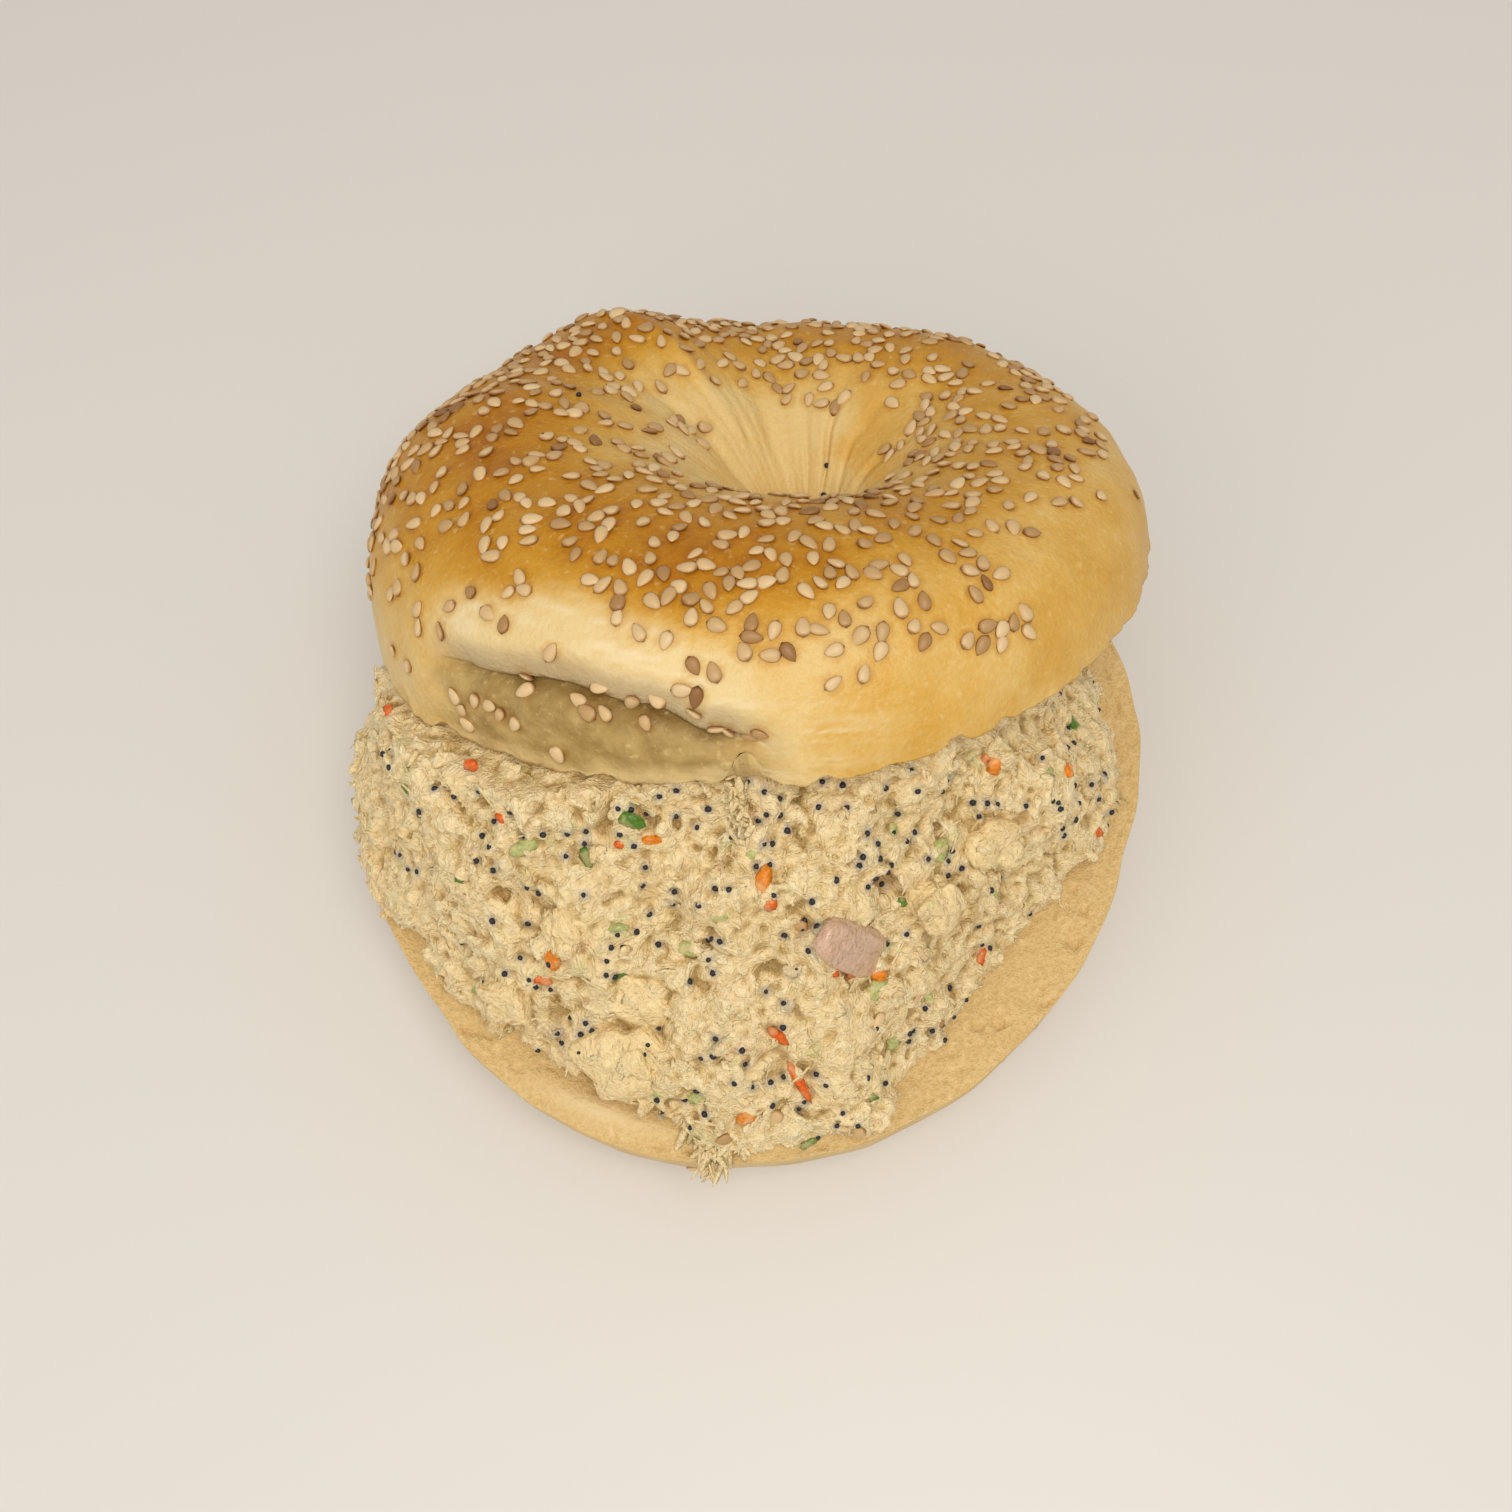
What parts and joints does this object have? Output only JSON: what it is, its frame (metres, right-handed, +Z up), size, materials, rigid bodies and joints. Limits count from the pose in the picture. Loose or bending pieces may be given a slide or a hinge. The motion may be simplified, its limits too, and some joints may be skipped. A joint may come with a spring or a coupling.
{
  "type": "salad sandwich",
  "caption": "Opened ring roll with a tall salad filling: lower half flat on its base, top half leaning back on the heap.",
  "frame": {"origin": "middle of the sandwich's outline in plan, at the height of the lower half's flat base", "axes": "+Z up; the open, raised side with the heap of salad faces -Y; the top half leans back towards +Y"},
  "size_m": [0.1258, 0.1454, 0.0792],
  "materials": {
    "lower_crust": "satin",
    "salad": "satin",
    "top_crust": "satin"
  },
  "bodies": {
    "root": {"bagel_lower": "lower_crust", "tuna_salad": "salad", "bagel_top": "top_crust"}
  },
  "joints": []
}
